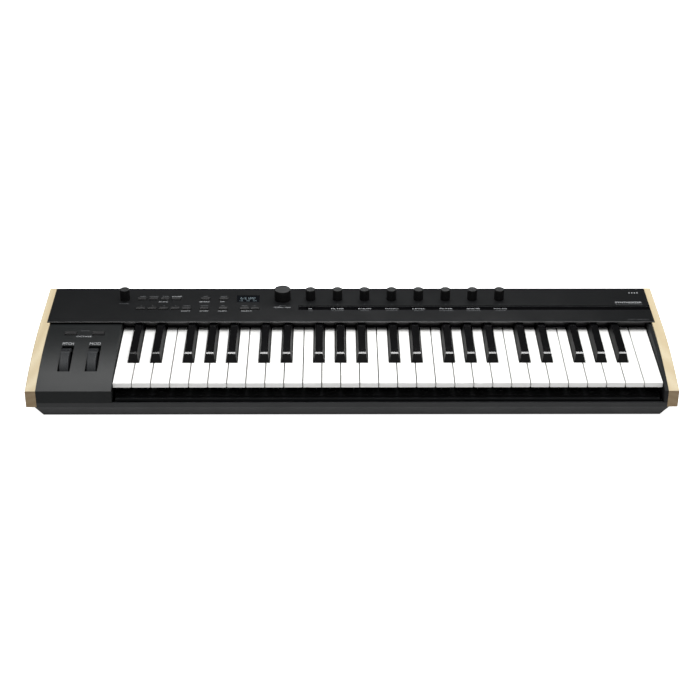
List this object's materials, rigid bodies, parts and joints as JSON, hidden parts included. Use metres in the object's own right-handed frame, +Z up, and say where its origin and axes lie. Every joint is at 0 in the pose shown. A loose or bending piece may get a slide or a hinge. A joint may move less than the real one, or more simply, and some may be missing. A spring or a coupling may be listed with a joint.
{
  "type": "keyboard synthesizer",
  "caption": "Slim keyboard synthesizer with hinged piano-style keys, thumb wheels, rotary knobs, push buttons and swept wooden end cheeks.",
  "frame": {"origin": "on the ground under the middle of the instrument's width and depth", "axes": "+X along the keyboard towards the highest note, +Y towards the rear panel, +Z up"},
  "size_m": [0.8084, 0.232, 0.0766],
  "materials": {
    "case_plastic": "moulded black ABS with a fine matte grain",
    "panel_plastic": "soft dark grey painted ABS",
    "pale_wood": "pale maple with a clear matt lacquer",
    "rubber": "matte moulded rubber",
    "zinc_steel": "zinc-plated steel",
    "frame_plastic": "black glass-filled plastic",
    "felt": "dense dark wool felt",
    "spring_steel": "blued spring steel",
    "circuit_board": "green solder mask on glass-epoxy board",
    "silicone_rubber": "grey silicone rubber",
    "pot_metal": "stamped steel and plastic potentiometer bodies",
    "display_glass": "clear window over a small graphic display",
    "strip_gloss": "glossy black acrylic strip",
    "jack_plastic": "black nylon jack bodies",
    "knob_plastic": "black moulded plastic with a satin top",
    "wheel_rubber": "grey soft-touch plastic",
    "white_key_plastic": "glossy white moulded key plastic",
    "black_key_plastic": "satin black moulded key plastic",
    "button_plastic": "dark grey moulded button plastic"
  },
  "bodies": {
    "case": {"bottom_case": "case_plastic", "wood_side_left": "pale_wood", "wood_side_right": "pale_wood", "top_panel": "panel_plastic", "wheel_panel": "panel_plastic", "right_cheek": "panel_plastic", "rear_panel": "case_plastic", "rubber_feet": "rubber", "case_screws": "zinc_steel", "key_frame": "frame_plastic", "key_pivot_rod": "zinc_steel", "key_stop_felt": "felt", "key_spring_comb": "spring_steel", "key_contact_board": "circuit_board", "key_contact_domes": "silicone_rubber", "wheel_bracket": "frame_plastic", "control_pots": "pot_metal", "control_boards": "circuit_board", "display_lens": "display_glass", "strip_lens": "strip_gloss", "rear_jacks": "jack_plastic", "usb_socket": "zinc_steel", "main_board": "circuit_board"},
    "volume_knob": {"volume_knob": "knob_plastic"},
    "data_dial": {"data_dial": "knob_plastic"},
    "knob_1": {"knob_1": "knob_plastic"},
    "knob_2": {"knob_2": "knob_plastic"},
    "knob_3": {"knob_3": "knob_plastic"},
    "knob_4": {"knob_4": "knob_plastic"},
    "knob_5": {"knob_5": "knob_plastic"},
    "knob_6": {"knob_6": "knob_plastic"},
    "knob_7": {"knob_7": "knob_plastic"},
    "knob_8": {"knob_8": "knob_plastic"},
    "pitch_wheel": {"pitch_wheel": "wheel_rubber"},
    "mod_wheel": {"mod_wheel": "wheel_rubber"},
    "key_c": {"key_c": "white_key_plastic"},
    "key_d": {"key_d": "white_key_plastic"},
    "key_e": {"key_e": "white_key_plastic"},
    "key_f": {"key_f": "white_key_plastic"},
    "key_g": {"key_g": "white_key_plastic"},
    "key_a": {"key_a": "white_key_plastic"},
    "key_b": {"key_b": "white_key_plastic"},
    "key_c_sharp": {"key_c_sharp": "black_key_plastic"},
    "key_d_sharp": {"key_d_sharp": "black_key_plastic"},
    "key_f_sharp": {"key_f_sharp": "black_key_plastic"},
    "key_g_sharp": {"key_g_sharp": "black_key_plastic"},
    "key_a_sharp": {"key_a_sharp": "black_key_plastic"},
    "outer_natural_keys": {"outer_natural_keys": "white_key_plastic"},
    "outer_sharp_keys": {"outer_sharp_keys": "black_key_plastic"},
    "upper_grid_buttons": {"upper_grid_buttons": "button_plastic"},
    "lower_grid_buttons": {"lower_grid_buttons": "button_plastic"},
    "shift_button": {"shift_button": "button_plastic"},
    "upper_left_button": {"upper_left_button": "button_plastic"},
    "lower_left_button": {"lower_left_button": "button_plastic"},
    "upper_right_button": {"upper_right_button": "button_plastic"},
    "lower_right_button": {"lower_right_button": "button_plastic"},
    "menu_buttons": {"menu_buttons": "button_plastic"},
    "octave_down_button": {"octave_down_button": "button_plastic"},
    "octave_up_button": {"octave_up_button": "button_plastic"},
    "power_button": {"power_button": "button_plastic"}
  },
  "joints": [
    {"name": "pitch_wheel_turn", "type": "hinge", "parent": "case", "child": "pitch_wheel", "pos_m": [-0.3607, -0.055, 0.0353], "axis": [1, 0, 0], "range_deg": [-45, 45], "stiffness_Nm_per_rad": 0.06},
    {"name": "mod_wheel_turn", "type": "hinge", "parent": "case", "child": "mod_wheel", "pos_m": [-0.3264, -0.055, 0.0353], "axis": [1, 0, 0], "range_deg": [-45, 45]},
    {"name": "data_dial_turn", "type": "hinge", "parent": "case", "child": "data_dial", "pos_m": [-0.091, 0.0838, 0.06], "axis": [0, 0, 1], "continuous": true},
    {"name": "volume_knob_turn", "type": "hinge", "parent": "case", "child": "volume_knob", "pos_m": [-0.3, 0.0838, 0.06], "axis": [0, 0, 1], "range_deg": [-150, 150]},
    {"name": "key_c_press", "type": "hinge", "parent": "case", "child": "key_c", "pos_m": [0, 0.081, 0.036], "axis": [1, 0, 0], "range_deg": [0, 3.1], "stiffness_Nm_per_rad": 1, "springref_deg": -6.3},
    {"name": "key_d_press", "type": "hinge", "parent": "case", "child": "key_d", "pos_m": [0, 0.081, 0.036], "axis": [1, 0, 0], "range_deg": [0, 3.1], "stiffness_Nm_per_rad": 1, "springref_deg": -6.3},
    {"name": "key_e_press", "type": "hinge", "parent": "case", "child": "key_e", "pos_m": [0, 0.081, 0.036], "axis": [1, 0, 0], "range_deg": [0, 3.1], "stiffness_Nm_per_rad": 1, "springref_deg": -6.3},
    {"name": "key_f_press", "type": "hinge", "parent": "case", "child": "key_f", "pos_m": [0, 0.081, 0.036], "axis": [1, 0, 0], "range_deg": [0, 3.1], "stiffness_Nm_per_rad": 1, "springref_deg": -6.3},
    {"name": "key_g_press", "type": "hinge", "parent": "case", "child": "key_g", "pos_m": [0, 0.081, 0.036], "axis": [1, 0, 0], "range_deg": [0, 3.1], "stiffness_Nm_per_rad": 1, "springref_deg": -6.3},
    {"name": "key_a_press", "type": "hinge", "parent": "case", "child": "key_a", "pos_m": [0, 0.081, 0.036], "axis": [1, 0, 0], "range_deg": [0, 3.1], "stiffness_Nm_per_rad": 1, "springref_deg": -6.3},
    {"name": "key_b_press", "type": "hinge", "parent": "case", "child": "key_b", "pos_m": [0, 0.081, 0.036], "axis": [1, 0, 0], "range_deg": [0, 3.1], "stiffness_Nm_per_rad": 1, "springref_deg": -6.3},
    {"name": "key_c_sharp_press", "type": "hinge", "parent": "case", "child": "key_c_sharp", "pos_m": [0, 0.081, 0.036], "axis": [1, 0, 0], "range_deg": [0, 3.1], "stiffness_Nm_per_rad": 1, "springref_deg": -6.3},
    {"name": "key_d_sharp_press", "type": "hinge", "parent": "case", "child": "key_d_sharp", "pos_m": [0, 0.081, 0.036], "axis": [1, 0, 0], "range_deg": [0, 3.1], "stiffness_Nm_per_rad": 1, "springref_deg": -6.3},
    {"name": "key_f_sharp_press", "type": "hinge", "parent": "case", "child": "key_f_sharp", "pos_m": [0, 0.081, 0.036], "axis": [1, 0, 0], "range_deg": [0, 3.1], "stiffness_Nm_per_rad": 1, "springref_deg": -6.3},
    {"name": "key_g_sharp_press", "type": "hinge", "parent": "case", "child": "key_g_sharp", "pos_m": [0, 0.081, 0.036], "axis": [1, 0, 0], "range_deg": [0, 3.1], "stiffness_Nm_per_rad": 1, "springref_deg": -6.3},
    {"name": "key_a_sharp_press", "type": "hinge", "parent": "case", "child": "key_a_sharp", "pos_m": [0, 0.081, 0.036], "axis": [1, 0, 0], "range_deg": [0, 3.1], "stiffness_Nm_per_rad": 1, "springref_deg": -6.3},
    {"name": "outer_natural_keys_press", "type": "hinge", "parent": "case", "child": "outer_natural_keys", "pos_m": [0, 0.081, 0.036], "axis": [1, 0, 0], "range_deg": [0, 3.1], "stiffness_Nm_per_rad": 22, "springref_deg": -6.3},
    {"name": "outer_sharp_keys_press", "type": "hinge", "parent": "case", "child": "outer_sharp_keys", "pos_m": [0, 0.081, 0.036], "axis": [1, 0, 0], "range_deg": [0, 3.1], "stiffness_Nm_per_rad": 15, "springref_deg": -6.3},
    {"name": "knob_1_turn", "type": "hinge", "parent": "case", "child": "knob_1", "pos_m": [-0.0539, 0.0838, 0.06], "axis": [0, 0, 1], "range_deg": [-150, 150]},
    {"name": "knob_2_turn", "type": "hinge", "parent": "case", "child": "knob_2", "pos_m": [-0.0181, 0.0838, 0.06], "axis": [0, 0, 1], "range_deg": [-150, 150]},
    {"name": "knob_3_turn", "type": "hinge", "parent": "case", "child": "knob_3", "pos_m": [0.0177, 0.0838, 0.06], "axis": [0, 0, 1], "range_deg": [-150, 150]},
    {"name": "knob_4_turn", "type": "hinge", "parent": "case", "child": "knob_4", "pos_m": [0.0535, 0.0838, 0.06], "axis": [0, 0, 1], "range_deg": [-150, 150]},
    {"name": "knob_5_turn", "type": "hinge", "parent": "case", "child": "knob_5", "pos_m": [0.0893, 0.0838, 0.06], "axis": [0, 0, 1], "range_deg": [-150, 150]},
    {"name": "knob_6_turn", "type": "hinge", "parent": "case", "child": "knob_6", "pos_m": [0.1251, 0.0838, 0.06], "axis": [0, 0, 1], "range_deg": [-150, 150]},
    {"name": "knob_7_turn", "type": "hinge", "parent": "case", "child": "knob_7", "pos_m": [0.1609, 0.0838, 0.06], "axis": [0, 0, 1], "range_deg": [-150, 150]},
    {"name": "knob_8_turn", "type": "hinge", "parent": "case", "child": "knob_8", "pos_m": [0.1967, 0.0838, 0.06], "axis": [0, 0, 1], "range_deg": [-150, 150]},
    {"name": "octave_down_button_press", "type": "slide", "parent": "case", "child": "octave_down_button", "axis": [0, 0, -1], "range_m": [0, 0.0008], "stiffness_N_per_m": 400, "springref_m": -0.001},
    {"name": "octave_up_button_press", "type": "slide", "parent": "case", "child": "octave_up_button", "axis": [0, 0, -1], "range_m": [0, 0.0008], "stiffness_N_per_m": 400, "springref_m": -0.001},
    {"name": "upper_grid_buttons_press", "type": "slide", "parent": "case", "child": "upper_grid_buttons", "axis": [0, 0, -1], "range_m": [0, 0.0008], "stiffness_N_per_m": 1600, "springref_m": -0.001},
    {"name": "lower_grid_buttons_press", "type": "slide", "parent": "case", "child": "lower_grid_buttons", "axis": [0, 0, -1], "range_m": [0, 0.0008], "stiffness_N_per_m": 1600, "springref_m": -0.001},
    {"name": "shift_button_press", "type": "slide", "parent": "case", "child": "shift_button", "axis": [0, 0, -1], "range_m": [0, 0.0008], "stiffness_N_per_m": 400, "springref_m": -0.001},
    {"name": "upper_left_button_press", "type": "slide", "parent": "case", "child": "upper_left_button", "axis": [0, 0, -1], "range_m": [0, 0.0008], "stiffness_N_per_m": 400, "springref_m": -0.001},
    {"name": "lower_left_button_press", "type": "slide", "parent": "case", "child": "lower_left_button", "axis": [0, 0, -1], "range_m": [0, 0.0008], "stiffness_N_per_m": 400, "springref_m": -0.001},
    {"name": "upper_right_button_press", "type": "slide", "parent": "case", "child": "upper_right_button", "axis": [0, 0, -1], "range_m": [0, 0.0008], "stiffness_N_per_m": 400, "springref_m": -0.001},
    {"name": "lower_right_button_press", "type": "slide", "parent": "case", "child": "lower_right_button", "axis": [0, 0, -1], "range_m": [0, 0.0008], "stiffness_N_per_m": 400, "springref_m": -0.001},
    {"name": "menu_buttons_press", "type": "slide", "parent": "case", "child": "menu_buttons", "axis": [0, 0, -1], "range_m": [0, 0.0008], "stiffness_N_per_m": 800, "springref_m": -0.001},
    {"name": "power_button_press", "type": "slide", "parent": "case", "child": "power_button", "axis": [0, -1, 0], "range_m": [0, 0.0015], "stiffness_N_per_m": 400, "springref_m": -0.001}
  ]
}
